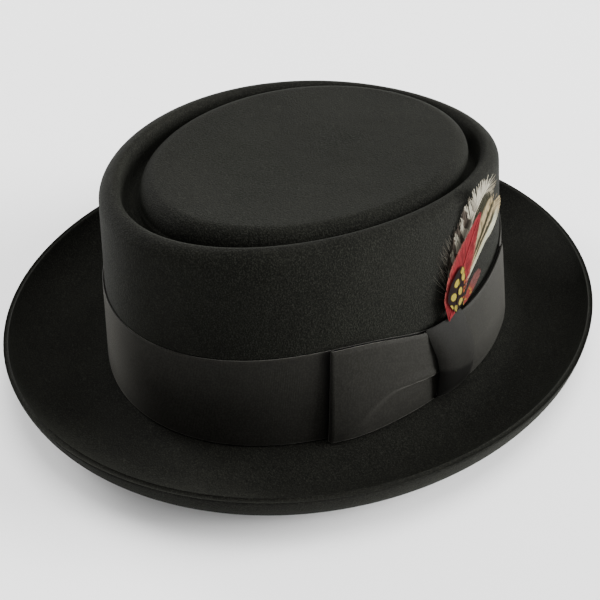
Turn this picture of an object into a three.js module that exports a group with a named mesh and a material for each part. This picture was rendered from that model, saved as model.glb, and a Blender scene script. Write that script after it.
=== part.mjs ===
// Porkpie hat: one felt body, a ribbon band with a flat bow, and a cluster of feathers.
// Millimetres, +Z up. The hat rests on its brim at z = 0 and is centred over the origin.
// The wearer faces -Y, so the bow and the feathers on the wearer's left are at +X.
import * as THREE from 'three';

// Felt body: the oval is measured outside the felt, where the crown meets the brim
const HEAD_LENGTH = 208;
const HEAD_WIDTH = 175.4;
const HEAD_EGG = 0.02; // how much wider the oval is behind the middle than its true ellipse, as a share
const FELT_THICKNESS = 2.2;
const BREAK_RADIUS = 1.2; // hollow corner between the crown and the brim
const STATIONS = 60;

// Brim: its width is measured along the felt, from the crown to the raw edge
const BRIM_WIDTH = 54;
const REST_ANGLE = 5; // degrees of the curl either side of its lowest line that lie flat
const CURL_STEPS = 8;

// Crown: heights are above the surface that the hat rests on
const CROWN_HEIGHT = 92.3;
const CROWN_END_TAPER = 4.5; // how far the wall leans in at the front and at the back
const CROWN_SIDE_TAPER = 12;
const RIM_OUTER_RADIUS = 6;
const RIM_INNER_RADIUS = 2.9;
const GROOVE_DEPTH = 13; // below the rim
const GROOVE_ROUNDING = 0.8; // share of half the groove's opening
const GROOVE_DRAFT = 4; // degrees
const TIP_INSET = 14; // from the outside of the rim to the wall of the raised tip
const TIP_EDGE_RADIUS = 5.5;
const TIP_DISH = 2.2;

// Around the hat: brim, tipInset, crown and tip are shares of BRIM_WIDTH, TIP_INSET and CROWN_HEIGHT,
// flat is the share of the brim before the curl, slope and edge are in degrees
const AROUND = [
  { place: 'front', brim: 1.0, flat: 0.37, slope: 1, edge: 85.5, crown: 1.02, tip: 1.012, tipInset: 1.1 },
  { place: 'side', brim: 0.97, flat: 0.38, slope: 13, edge: 90, crown: 1.0, tip: 0.996, tipInset: 0.86 },
  { place: 'back', brim: 0.885, flat: 0.355, slope: 5.5, edge: 84, crown: 0.877, tip: 0.95, tipInset: 1.2 },
];

// Band: one flat ribbon round the foot of the crown
const GAP = 0.3; // clearance between neighbouring pieces
const RIBBON_WIDTH = 43.4;
const RIBBON_THICKNESS = 0.8;
const RIBBON_LIFT = 1.0; // above the line where the crown meets the brim
const RIBBON_DIP = 10; // how far the knot draws the upper edge down
const RIBBON_DIP_SPREAD_FRONT = 32; // in front of the knot
const RIBBON_DIP_SPREAD_BACK = 68; // behind the knot

// Bow: two flat loops held by a knot. Places along the band are measured round the foot of the crown,
// from the middle of the wearer's left side towards the back
const BOW_CENTRE = -2.5;
const LOOP_REACH = 61.5; // from the middle of the bow to the fold at a loop's end
const LOOP_SLANT = 3.5; // how much farther the fold reaches at the bottom than at the top
const LOOP_PROUD = 3.8;
const LOOP_CLEARANCE = 0.8; // between a loop and the side of the knot
const PLEAT_STEP = 0.9;
const KNOT_HALF_WIDTH = 12;
const KNOT_PROUD = 5.4;
const KNOT_BOTTOM_LIFT = 0.2; // above the ribbon's lower edge
const KNOT_TOP_LIFT = 2.8; // above the ribbon's upper edge

// Each row is a section of a loop: reach is the share of the way from the knot to the fold, proud and
// step are shares of LOOP_PROUD and PLEAT_STEP, pleat is the pleat's height as a share of the ribbon's
const LOOP_SECTIONS = [
  { reach: 0.0, proud: 0.62, pleat: 0.38, step: 1.0 },
  { reach: 0.25, proud: 0.80, pleat: 0.4, step: 1.0 },
  { reach: 0.5, proud: 0.95, pleat: 0.38, step: 0.9 },
  { reach: 0.66, proud: 1.0, pleat: 0.27, step: 0.6 },
  { reach: 0.78, proud: 1.0, pleat: 0.15, step: 0.25 },
  { reach: 0.9, proud: 0.92, pleat: 0.08, step: 0.0 },
  { reach: 0.97, proud: 0.74, pleat: 0.08, step: 0.0 },
  { reach: 1.0, proud: 0.35, pleat: 0.08, step: 0.0 },
];

// Each row is a level of the knot, from its bottom to its top: up is the share of its height, shift and
// wide are shares of KNOT_HALF_WIDTH, proud is a share of KNOT_PROUD
const KNOT_LEVELS = [
  { up: 0.0, shift: -0.08, wide: 0.88, proud: 0.50 },
  { up: 0.06, shift: -0.03, wide: 0.93, proud: 0.76 },
  { up: 0.18, shift: 0.06, wide: 0.99, proud: 0.94 },
  { up: 0.38, shift: 0.13, wide: 1.0, proud: 1.0 },
  { up: 0.62, shift: 0.02, wide: 0.965, proud: 0.98 },
  { up: 0.82, shift: -0.13, wide: 0.955, proud: 0.88 },
  { up: 0.95, shift: -0.23, wide: 0.95, proud: 0.66 },
  { up: 1.0, shift: -0.27, wide: 0.92, proud: 0.40 },
];

// Feathers: flat blades one over another, from the crown's wall outwards. foot, tip and wide are shares
// of TUFT_REACH along the band, of TUFT_RISE above the knot and of FEATHER_WIDTH, and bend is a share of
// the blade's length
const FEATHER_THICKNESS = 0.55;
const FEATHER_LIFT = 0.4; // of the lowest blade above the felt
const FEATHER_FOOT = 1.2; // from the knot's top up to the lowest blade's foot
const FEATHER_WIDTH = 16;
const FEATHER_STIFFNESS = 0.9; // 0 follows the crown all the way, 1 stands straight off it
const TUFT_REACH = 35;
const TUFT_RISE = 50;
const FEATHERS = [
  { name: 'feather_brown_hackle', level: 0, footAlong: 0.03, footUp: 0.018, tipAlong: -0.015, tipUp: 0.75,
    wide: 0.6, bend: 0.03, blade: 'fan', color: 0x8a7764 },
  { name: 'feather_barred', level: 1, footAlong: 0.043, footUp: 0.014, tipAlong: 0.957, tipUp: 1.0,
    wide: 0.625, bend: 0.17, blade: 'long', color: 0xd8d0c4 },
  { name: 'feather_striped', level: 2, footAlong: 0.086, footUp: 0.018, tipAlong: 1.0, tipUp: 0.87,
    wide: 1.0, bend: 0, blade: 'fan', color: 0xb9ac85 },
  { name: 'feather_small_red', level: 3, footAlong: 0.243, footUp: 0.014, tipAlong: 0.59, tipUp: 0.25,
    wide: 0.28, bend: 0, blade: 'long', color: 0xc4665e },
  { name: 'feather_red', level: 4, footAlong: 0, footUp: 0, tipAlong: 0.67, tipUp: 0.77,
    wide: 0.9, bend: 0.03, blade: 'lance', color: 0xb8403c },
  { name: 'feather_spotted', level: 5, footAlong: 0.07, footUp: 0, tipAlong: 0.215, tipUp: 0.38,
    wide: 0.845, bend: 0.03, blade: 'leaf', color: 0x231a12 },
];

// Half width of each kind of blade along its length, as a share of its full half width
const BLADES = [
  { at: 0.0, fan: 0.12, long: 0.2, lance: 0.45, leaf: 0.36 },
  { at: 0.08, fan: 0.14, long: 0.4, lance: 0.66, leaf: 0.66 },
  { at: 0.22, fan: 0.22, long: 0.7, lance: 0.9, leaf: 0.92 },
  { at: 0.4, fan: 0.4, long: 0.92, lance: 1.0, leaf: 1.0 },
  { at: 0.6, fan: 0.62, long: 1.0, lance: 0.84, leaf: 0.9 },
  { at: 0.78, fan: 0.96, long: 0.92, lance: 0.52, leaf: 0.64 },
  { at: 0.92, fan: 0.8, long: 0.62, lance: 0.26, leaf: 0.36 },
  { at: 1.0, fan: 0.14, long: 0.1, lance: 0.06, leaf: 0.08 },
];

const FELT_MATERIAL = new THREE.MeshStandardMaterial({ color: 0x1b1c1a, roughness: 0.95, metalness: 0 });
const RIBBON_MATERIAL = new THREE.MeshStandardMaterial({ color: 0x2b2926, roughness: 0.8, metalness: 0 });

const radians = THREE.MathUtils.degToRad;
const { lerp } = THREE.MathUtils;

// Value of one column of AROUND at the angle t, which is 0 at the bow and -90 degrees at the front
function around(column, t) {
  const [front, side, back] = AROUND.map((row) => row[column]);
  const middle = lerp((front + back) / 2, side, Math.cos(t) ** 2);
  return middle + ((back - front) / 2) * Math.sin(t);
}

// Point of an egg-shaped oval at the angle t, moved outwards in its plane
function ovalPoint(halfLength, halfWidth, t, out, up) {
  const x = halfWidth * Math.cos(t) * (1 + HEAD_EGG * Math.sin(t));
  const y = halfLength * Math.sin(t);
  const tangentX = halfWidth * (HEAD_EGG * Math.cos(2 * t) - Math.sin(t));
  const tangentY = halfLength * Math.cos(t);
  const length = Math.hypot(tangentX, tangentY);
  return new THREE.Vector3(x + (out * tangentY) / length, y - (out * tangentX) / length, up);
}

const footPoint = (t, out, up) => ovalPoint(HEAD_LENGTH / 2, HEAD_WIDTH / 2, t, out, up);
const rimPoint = (t, out, up) =>
  ovalPoint(HEAD_LENGTH / 2 - CROWN_END_TAPER, HEAD_WIDTH / 2 - CROWN_SIDE_TAPER, t, out, up);

// The brim at the angle t: a straight slope away from the crown, then a curl of constant radius
function brimAt(t) {
  const width = BRIM_WIDTH * around('brim', t);
  const flat = width * around('flat', t);
  const slope = radians(around('slope', t));
  const edge = radians(around('edge', t));
  const radius = (width - flat) / (edge + slope);
  const pressed = (radius + FELT_THICKNESS) * (1 - Math.cos(radians(REST_ANGLE)));
  const curlFoot = FELT_THICKNESS - pressed;
  const breakHeight = curlFoot + radius * (1 - Math.cos(slope)) + flat * Math.sin(slope);
  return { flat, slope, edge, radius, curlFoot, breakHeight };
}

// Heights at the angle t
const breakHeight = (t) => brimAt(t).breakHeight;
const rimHeight = (t) => CROWN_HEIGHT * around('crown', t);
const tipHeight = (t) => CROWN_HEIGHT * around('tip', t);
const wallTop = (t) => rimHeight(t) - RIM_OUTER_RADIUS;

// Lean of the crown's wall at the angle t, in radians
function wallLean(t) {
  const taper = lerp(CROWN_END_TAPER, CROWN_SIDE_TAPER, Math.cos(t) ** 2);
  return Math.atan2(taper, wallTop(t) - breakHeight(t));
}

// Places on the felt's upper surface at the angle t, from the raw edge of the brim to the edge of the
// tip. faces is the turn of the surface's normal from straight up, positive when it faces outwards
function feltLine(t) {
  const brim = brimAt(t);
  const line = [];
  const add = (base, out, up, faces) => line.push({ base, out, up, faces });

  // curl of the brim, with two angles that lie flat
  const rest = radians(REST_ANGLE);
  const angles = [-brim.slope, -Math.min(rest, brim.slope) / 2, rest];
  for (let step = 1; step <= CURL_STEPS; step += 1) {
    angles.push(lerp(rest, brim.edge, step / CURL_STEPS));
  }
  for (const angle of angles.reverse()) {
    const out = brim.flat * Math.cos(brim.slope) + brim.radius * (Math.sin(angle) + Math.sin(brim.slope));
    add(footPoint, out, brim.curlFoot + brim.radius * (1 - Math.cos(angle)), -angle);
  }

  // hollow corner between the brim and the wall
  const lean = wallLean(t);
  const cornerUp = brim.breakHeight + BREAK_RADIUS * (1 / Math.cos(brim.slope) - Math.tan(brim.slope));
  for (const share of [0, 0.5, 1]) {
    const faces = lerp(brim.slope, Math.PI / 2 - lean, share);
    add(footPoint, BREAK_RADIUS * (1 - Math.sin(faces)), cornerUp - BREAK_RADIUS * Math.cos(faces), faces);
  }

  // rounded rim
  const rimUp = rimHeight(t);
  for (const share of [0, 0.3, 0.65, 1]) {
    const faces = lerp(Math.PI / 2 - lean, 0, share);
    const out = -RIM_OUTER_RADIUS * (1 - Math.sin(faces));
    add(rimPoint, out, rimUp - RIM_OUTER_RADIUS * (1 - Math.cos(faces)), faces);
  }
  const steep = Math.PI / 2 - radians(GROOVE_DRAFT);
  for (const share of [0.4, 0.75, 1]) {
    const faces = -steep * share;
    const out = -RIM_OUTER_RADIUS + RIM_INNER_RADIUS * Math.sin(faces);
    add(rimPoint, out, rimUp - RIM_INNER_RADIUS * (1 - Math.cos(faces)), faces);
  }

  // groove round the tip
  const rimWidth = RIM_OUTER_RADIUS + RIM_INNER_RADIUS;
  const inset = TIP_INSET * around('tipInset', t);
  const grooveRadius = (GROOVE_ROUNDING * (inset - rimWidth)) / 2;
  const grooveUp = rimUp - GROOVE_DEPTH + grooveRadius;
  for (const share of [-1, -0.5, 0, 0.5, 1]) {
    const faces = steep * share;
    const out = -(rimWidth + inset) / 2 - grooveRadius * Math.sin(faces);
    add(rimPoint, out, grooveUp - grooveRadius * Math.cos(faces), faces);
  }

  // rounded edge of the tip
  const tipUp = tipHeight(t);
  for (const share of [1, 0.7, 0.4, 0.15, -0.04]) {
    const faces = steep * share;
    const out = -inset - TIP_EDGE_RADIUS * (1 - Math.sin(faces));
    add(rimPoint, out, tipUp - TIP_EDGE_RADIUS * (1 - Math.cos(faces)), faces);
  }
  return line;
}

// Triangles between one loop of points and the next, for every pair of loops in a row
function bands(rings, closed) {
  const count = rings[0].length;
  const triangles = [];
  for (let ring = 0; ring < rings.length - (closed ? 0 : 1); ring += 1) {
    const here = ring * count;
    const next = ((ring + 1) % rings.length) * count;
    for (let i = 0; i < count; i += 1) {
      const j = (i + 1) % count;
      triangles.push(here + i, here + j, next + j, here + i, next + j, next + i);
    }
  }
  return triangles;
}

// Closed surface of points and triangles, turned so that it faces outwards
function skin(points, triangles) {
  const geometry = new THREE.BufferGeometry().setFromPoints(points);
  geometry.setIndex(enclosedVolume(points, triangles) < 0 ? [...triangles].reverse() : triangles);
  geometry.computeVertexNormals();
  return geometry;
}

// Body of rings that narrows to a single point at either end
function bowl(rings, first, last) {
  const count = rings[0].length;
  const points = [...rings.flat(), first, last];
  const triangles = bands(rings, false);
  const lastRing = (rings.length - 1) * count;
  for (let i = 0; i < count; i += 1) {
    const j = (i + 1) % count;
    triangles.push(points.length - 2, j, i, points.length - 1, lastRing + i, lastRing + j);
  }
  return skin(points, triangles);
}

// Thick sheet: every section is a row of pairs of points, one on the outside and one on the inside
function sheet(sections) {
  const rings = sections.map((pairs) => [
    ...pairs.map(([outside]) => outside),
    ...pairs.map(([, inside]) => inside).reverse(),
  ]);
  const triangles = bands(rings, false);
  const pairs = sections[0].length;
  const count = 2 * pairs;
  const lastRing = (rings.length - 1) * count;
  for (let i = 0; i < pairs - 1; i += 1) {
    const [a, b, c, d] = [i, i + 1, count - 2 - i, count - 1 - i];
    triangles.push(a, c, b, a, d, c);
    triangles.push(lastRing + a, lastRing + b, lastRing + c, lastRing + a, lastRing + c, lastRing + d);
  }
  return skin(rings.flat(), triangles);
}

// Six times the volume inside the triangles, negative when they face inwards
function enclosedVolume(points, triangles) {
  let volume = 0;
  for (let i = 0; i < triangles.length; i += 3) {
    const [a, b, c] = [points[triangles[i]], points[triangles[i + 1]], points[triangles[i + 2]]];
    volume += a.dot(b.clone().cross(c));
  }
  return volume;
}

const middleOf = (ring) =>
  ring.reduce((sum, point) => sum.add(point), new THREE.Vector3()).divideScalar(ring.length);

const stations = Array.from({ length: STATIONS }, (_, i) => (2 * Math.PI * i) / STATIONS);

// Felt body: brim, crown and tip are one sheet of even thickness, open below for the head
function feltBody() {
  const lines = stations.map(feltLine);
  const upper = [];
  const under = [];
  for (let k = 0; k < lines[0].length; k += 1) {
    upper.push(stations.map((t, i) => {
      const place = lines[i][k];
      return place.base(t, place.out, place.up);
    }));
    under.push(stations.map((t, i) => {
      const { base, out, up, faces } = lines[i][k];
      const inner = Math.max(up - FELT_THICKNESS * Math.cos(faces), 0);
      return base(t, out - FELT_THICKNESS * Math.sin(faces), inner);
    }));
  }

  // the tip dips from its edge to its middle
  const edge = upper[upper.length - 1];
  const centre = middleOf(edge);
  centre.z -= TIP_DISH;
  for (const share of [0.3, 0.65]) {
    const ring = edge.map((point) => {
      const inner = point.clone().lerp(centre, share);
      inner.z = lerp(centre.z, point.z, (1 - share) ** 2);
      return inner;
    });
    upper.push(ring);
    under.push(ring.map((point) => new THREE.Vector3(point.x, point.y, point.z - FELT_THICKNESS)));
  }
  const underCentre = new THREE.Vector3(centre.x, centre.y, centre.z - FELT_THICKNESS);
  return bowl([...under.reverse(), ...upper], underCentre, centre);
}

// Point on the outside of the crown's wall: along is measured round the foot of the crown from the
// middle of the wearer's left side towards the back, proud is the distance off the felt
function wallPoint(along, up, proud) {
  const t = along / (HEAD_LENGTH / 2);
  const share = (up - breakHeight(t)) / (wallTop(t) - breakHeight(t));
  return footPoint(t, proud, up).lerp(rimPoint(t, proud, up), share);
}

// Edges of the ribbon at a place along it
function ribbonEdges(along) {
  const t = along / (HEAD_LENGTH / 2);
  const nearest = Math.atan2(Math.sin(t), Math.cos(t)) * (HEAD_LENGTH / 2);
  const spread = nearest > BOW_CENTRE ? RIBBON_DIP_SPREAD_BACK : RIBBON_DIP_SPREAD_FRONT;
  const dip = RIBBON_DIP * Math.exp(-(((nearest - BOW_CENTRE) / spread) ** 2));
  const bottom = breakHeight(t) + RIBBON_LIFT;
  return { bottom, top: bottom + RIBBON_WIDTH - dip };
}

// Band: a closed ring of ribbon
function ribbonBand() {
  const inside = GAP;
  const outside = GAP + RIBBON_THICKNESS;
  const corners = [['bottom', inside], ['bottom', outside], ['top', outside], ['top', inside]];
  const rings = corners.map(([edge, proud]) => stations.map((t) => {
    const along = (t * HEAD_LENGTH) / 2;
    return wallPoint(along, ribbonEdges(along)[edge], proud);
  }));
  return skin(rings.flat(), bands(rings, true));
}

const bowFloor = GAP + RIBBON_THICKNESS + GAP;

// Row of a table at a place between its rows, worked out from the rows on either side
function between(rows, column, value) {
  const above = rows.findIndex((row) => row[column] > value);
  const next = above < 0 ? rows.length - 1 : Math.max(above, 1);
  const [low, high] = [rows[next - 1], rows[next]];
  const share = THREE.MathUtils.clamp((value - low[column]) / (high[column] - low[column]), 0, 1);
  return Object.fromEntries(Object.keys(low).map((key) => [key, lerp(low[key], high[key], share)]));
}

const knotBottom = ribbonEdges(BOW_CENTRE).bottom + KNOT_BOTTOM_LIFT;
const knotTop = ribbonEdges(BOW_CENTRE).top + KNOT_TOP_LIFT;

// Side of the knot at a height: side is -1 towards the front and 1 towards the back
function knotSide(up, side) {
  const level = between(KNOT_LEVELS, 'up', (up - knotBottom) / (knotTop - knotBottom));
  return BOW_CENTRE + KNOT_HALF_WIDTH * (level.shift + side * level.wide);
}

// Loop of the bow: a flat fold of ribbon with a pleat that runs out towards the fold
function bowLoop(side) {
  return sheet(LOOP_SECTIONS.map((section) => {
    const place = (height, proud) => {
      const { bottom, top } = ribbonEdges(BOW_CENTRE + side * LOOP_REACH * section.reach);
      const up = lerp(bottom, top, height);
      const fold = BOW_CENTRE + side * (LOOP_REACH + LOOP_SLANT * (0.5 - height));
      const along = lerp(knotSide(up, side) + side * LOOP_CLEARANCE, fold, section.reach);
      return wallPoint(along, up, bowFloor + proud);
    };
    const proud = LOOP_PROUD * section.proud;
    const step = PLEAT_STEP * section.step;
    const outline = [
      { height: 0, out: proud * 0.6 - step * 0.5 },
      { height: section.pleat * 0.5, out: proud - step },
      { height: section.pleat - 0.02, out: proud - step },
      { height: section.pleat, out: proud },
      { height: 0.6, out: proud },
      { height: 0.82, out: proud * 0.97 },
      { height: 1, out: proud * 0.6 },
    ];
    return outline.map(({ height, out }) => [place(height, out), place(height, 0)]);
  }));
}

// Knot of the bow: a puffed wrap of ribbon, wider below than above
function bowKnot() {
  const puff = [
    { across: -1, out: 0.62 },
    { across: -0.72, out: 0.9 },
    { across: 0, out: 1 },
    { across: 0.72, out: 0.9 },
    { across: 1, out: 0.62 },
  ];
  return sheet(KNOT_LEVELS.map((level) => puff.map(({ across, out }) => {
    const along = BOW_CENTRE + KNOT_HALF_WIDTH * (level.shift + across * level.wide);
    const up = lerp(knotBottom, knotTop, level.up);
    const proud = KNOT_PROUD * level.proud * out;
    return [wallPoint(along, up, bowFloor + proud), wallPoint(along, up, bowFloor)];
  })));
}

// How far a stiff blade stands off the wall, which turns away under it. It is the same for every blade
// at a place, so the blades keep their distance from each other
function standOff(along) {
  const wallRadius = HEAD_LENGTH ** 2 / (2 * HEAD_WIDTH);
  return (FEATHER_STIFFNESS * (along - BOW_CENTRE) ** 2) / (2 * wallRadius);
}

// Feather: a thin blade that thickens to its quill line, bent sideways along its length
function featherBlade(feather) {
  const lift = FEATHER_LIFT + feather.level * (FEATHER_THICKNESS + GAP);
  const run = TUFT_REACH * (feather.tipAlong - feather.footAlong);
  const rise = TUFT_RISE * (feather.tipUp - feather.footUp);
  const length = Math.hypot(run, rise);
  return sheet(BLADES.map((row) => {
    const half = ((FEATHER_WIDTH * feather.wide) / 2) * row[feather.blade];
    const sag = feather.bend * length * 4 * row.at * (1 - row.at);
    const place = (across, share) => {
      const aside = (across * half - sag) / length;
      const along = BOW_CENTRE + TUFT_REACH * feather.footAlong + run * row.at + rise * aside;
      const up = knotTop + FEATHER_FOOT + TUFT_RISE * feather.footUp + rise * row.at - run * aside;
      return wallPoint(along, up, lift + share * FEATHER_THICKNESS + standOff(along));
    };
    return [[place(-1, 0.6), place(-1, 0.2)], [place(0, 1), place(0, 0)], [place(1, 0.6), place(1, 0.2)]];
  }));
}

function piece(name, geometry, material) {
  const mesh = new THREE.Mesh(geometry, material);
  mesh.name = name;
  return mesh;
}

const hat = new THREE.Group();
const felt = feltBody();
felt.computeBoundingBox();
hat.position.y = -(felt.boundingBox.min.y + felt.boundingBox.max.y) / 2;
hat.add(piece('felt_body', felt, FELT_MATERIAL));
hat.add(piece('ribbon_band', ribbonBand(), RIBBON_MATERIAL));
hat.add(piece('bow_front_loop', bowLoop(-1), RIBBON_MATERIAL));
hat.add(piece('bow_back_loop', bowLoop(1), RIBBON_MATERIAL));
hat.add(piece('bow_knot', bowKnot(), RIBBON_MATERIAL));
for (const feather of FEATHERS) {
  const material = new THREE.MeshStandardMaterial({ color: feather.color, roughness: 0.8, metalness: 0 });
  hat.add(piece(feather.name, featherBlade(feather), material));
}

const porkpieHat = new THREE.Group();
porkpieHat.add(hat);

export default porkpieHat;
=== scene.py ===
"""Dresses a packed porkpie hat: fine felt, grosgrain ribbon, a flat bow, a tuft of feathers and a studio."""
import math

import bpy
import numpy as np
from bpy.props import FloatProperty, FloatVectorProperty, IntProperty, PointerProperty
from mathutils import Matrix, Vector


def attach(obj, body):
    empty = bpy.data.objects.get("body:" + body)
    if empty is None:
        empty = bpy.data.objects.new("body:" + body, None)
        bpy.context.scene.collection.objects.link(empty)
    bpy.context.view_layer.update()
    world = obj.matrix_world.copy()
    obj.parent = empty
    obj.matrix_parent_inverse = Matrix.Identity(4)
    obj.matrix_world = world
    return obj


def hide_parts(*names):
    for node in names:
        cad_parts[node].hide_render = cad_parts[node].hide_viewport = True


bl_info = {
    "name": "Porkpie Hat",
    "version": (1, 0, 0),
    "blender": (4, 5, 0),
    "location": "3D View > Sidebar > Hat",
    "description": "Builds the felt, ribbon, bow, feathers and studio of a porkpie hat",
    "category": "Object",
}

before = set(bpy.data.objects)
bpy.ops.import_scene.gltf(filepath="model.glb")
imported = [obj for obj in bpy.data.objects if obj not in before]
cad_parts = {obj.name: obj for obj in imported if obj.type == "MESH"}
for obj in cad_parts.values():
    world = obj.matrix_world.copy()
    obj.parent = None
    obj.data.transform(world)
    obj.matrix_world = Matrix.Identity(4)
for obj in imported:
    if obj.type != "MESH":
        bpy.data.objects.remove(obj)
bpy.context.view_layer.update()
MM = 0.001
BLACK = (0.0, 0.0, 0.0, 1.0)

# Felt: half the angle of the curl that lies flat, how steep the groove's walls are, and the share of
# half the groove's opening that is rounded
REST_ANGLE = math.radians(5)
GROOVE_STEEP = math.radians(86)
GROOVE_ROUNDING = 0.8

# Ribbon: painted shade on the band beside each loop's fold, standing for the fold's shadow: its reach at
# its lower edge, and how much less that is at its upper edge
SHADE_REACH = 4.2 * MM
SHADE_LESS = 1.8 * MM

# Bow: where the knot starts over the ribbon's lower edge, how far a loop's front rises over the band and
# its back stays below that, the room under its back, and how much of the back loop's pleat is left
KNOT_BOTTOM_LIFT = 0.2 * MM
LOOP_RISE = 0.9 * MM
LOOP_BACK_DROP = 1.3 * MM
LOOP_BACK_LIFT = 0.1 * MM
BACK_PLEAT = 0.12

# Pleat of a loop, as shares of the ribbon's width: its crease beside the knot, how much softer it gets
# towards the fold, and the swell above it, whose height is a share of the step
CREASE = 0.028
CREASE_SOFTER = 0.13
SWELL_WIDTH = 0.05
SWELL_SHARE = 0.35

# Knot: how far its sides curve back and how sharply, and where the painted shade on its lower part begins,
# its slant and its softness
KNOT_PUFF = 0.38
KNOT_PUFF_POWER = 3.2
KNOT_SHADE_LEVEL = 0.34
KNOT_SHADE_SLANT = 0.1
KNOT_SHADE_WIDTH = 0.08

# Barbs: how much one narrows to its tip, their spread and the calmer side's share of the raggedness, how
# high ruffled and smooth ones arch, the vane's cup, and the quill's reach and narrowing
BARB_TAPER = 0.6
BARB_SPREAD = 0.26
CALM_SIDE = 0.35
RUFFLED_ARCH = 0.4 * MM
SMOOTH_ARCH = 0.08 * MM
VANE_CUP = 0.09
QUILL_REACH = 0.93
QUILL_TAPER = 0.8

# Shares and angles at the front, the side and the back of the hat
AROUND = {
    "brim": (1.0, 0.97, 0.885),
    "flat": (0.37, 0.38, 0.355),
    "slope": (1.0, 13.0, 5.5),
    "edge": (85.5, 90.0, 84.0),
    "crown": (1.02, 1.0, 0.877),
    "tip": (1.012, 0.996, 0.95),
    "tip_inset": (1.26, 0.9, 1.2),
    "tip_soft": (1.4, 1.2, 1.3),
    "tip_round": (1.6, 1.2, 1.0),
}

# Bow loop, from under the knot to its fold: reach, then shares of its stand-off, its pleat's height
# and its pleat's step
LOOP_ROWS = {
    "reach": (-0.16, -0.06, 0.0, 0.25, 0.5, 0.66, 0.78, 0.9, 1.0),
    "proud": (0.3, 0.5, 0.6, 0.8, 0.95, 1.0, 1.0, 0.95, 0.84),
    "pleat": (0.38, 0.38, 0.38, 0.4, 0.38, 0.27, 0.15, 0.06, 0.0),
    "step": (1.0, 1.0, 1.0, 0.95, 0.75, 0.42, 0.12, 0.0, 0.0),
}

# Knot, from its bottom to its top: height, then shares of its half width and its stand-off
KNOT_ROWS = {
    "up": (-0.02, -0.01, 0.02, 0.08, 0.17, 0.27, 0.36, 0.45, 0.6, 0.78, 0.92, 1.0, 1.01),
    "shift": (-0.08, -0.08, -0.04, 0.0, 0.07, 0.1, 0.12, 0.11, 0.04, -0.1, -0.2, -0.27, -0.27),
    "wide": (0.84, 0.86, 0.91, 0.95, 0.99, 1.0, 1.0, 0.99, 0.97, 0.96, 0.95, 0.92, 0.9),
    "proud": (0.02, 0.2, 0.52, 0.73, 0.83, 0.91, 0.97, 0.99, 0.94, 0.74, 0.48, 0.27, 0.25),
}

# Half width of each kind of feather along its length, as a share of its full half width
BLADE_AT = (0.0, 0.08, 0.22, 0.4, 0.6, 0.78, 0.92, 1.0)
BLADES = {
    "fan": (0.12, 0.13, 0.19, 0.33, 0.56, 0.98, 0.86, 0.14),
    "long": (0.2, 0.4, 0.66, 0.86, 1.0, 1.0, 0.74, 0.12),
    "lance": (0.45, 0.66, 0.9, 1.0, 0.84, 0.52, 0.26, 0.06),
    "down": (0.9, 0.75, 0.85, 1.0, 0.9, 0.7, 0.5, 0.15),
    "leaf": (0.36, 0.66, 0.92, 1.0, 0.9, 0.64, 0.36, 0.08),
}

# Feathers: layer, foot and tip as shares of the tuft's reach and rise, share of its width, bend, kind of
# outline, pairs of barbs, a barb's width as a share of their spacing, raggedness and barbs' slant
FEATHERS = {
    "feather_brown_hackle": dict(
        layer=0, foot=(0.06, 0.018), tip=(0.26, 0.74), wide=1.5, bend=0.03,
        blade="down", slot="feather_brown", barbs=84, barb=0.2, ragged=1.0, slant=1.5),
    "feather_barred": dict(
        layer=1, foot=(0.043, 0.014), tip=(0.97, 1.0), wide=1.0, bend=0.1,
        blade="long", slot="feather_barred", barbs=230, barb=1.5, ragged=0.5, slant=1.3),
    "feather_striped": dict(
        layer=2, foot=(0.086, 0.018), tip=(0.96, 0.85), wide=1.08, bend=-0.02,
        blade="fan", slot="feather_striped", barbs=260, barb=2.0, ragged=0.1, slant=1.4),
    "feather_small_red": dict(
        layer=3, foot=(0.243, 0.014), tip=(0.59, 0.25), wide=0.3, bend=0.0,
        blade="long", slot="feather_red", barbs=70, barb=1.8, ragged=0.2, slant=1.3),
    "feather_red": dict(
        layer=4, foot=(-0.06, -0.03), tip=(0.59, 0.79), wide=0.93, bend=0.03,
        blade="lance", slot="feather_red", barbs=230, barb=2.2, ragged=0.12, slant=1.5),
    "feather_spotted": dict(
        layer=5, foot=(0.04, 0.027), tip=(0.19, 0.43), wide=0.72, bend=0.03,
        blade="leaf", slot="feather_spotted", barbs=110, barb=2.2, ragged=0.06, slant=1.2),
}

# Camera: width of its sensor in mm, and of the picture in pixels; half the floor's width in metres
SENSOR = 36.0
PICTURE = 600.0
FLOOR = 30.0

# Lamps: turn from the wearer's left towards the back, height, distance, size and power
LAMPS = (
    ("right_lamp", 44.0, 12.0, 2.4, 1.5, 262.0),
    ("left_lamp", -176.0, 12.0, 2.4, 0.9, 110.0),
    ("top_lamp", 90.0, 80.0, 2.4, 1.4, 62.0),
)

# Pale ovals on the spotted feather: place across and along it, then half width and half length
SPOTS = (
    (0.3, 0.89, 0.5, 0.075), (0.56, 0.75, 0.28, 0.09), (-0.3, 0.64, 0.29, 0.09), (0.3, 0.45, 0.23, 0.085),
    (-0.4, 0.35, 0.3, 0.085), (0.56, 0.21, 0.27, 0.08), (-0.66, 0.13, 0.22, 0.06), (-0.05, 0.1, 0.22, 0.07),
)


def smooth(value):
    """Eases from 0 to 1."""
    value = np.clip(value, 0.0, 1.0)
    return value * value * (3.0 - 2.0 * value)


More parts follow.
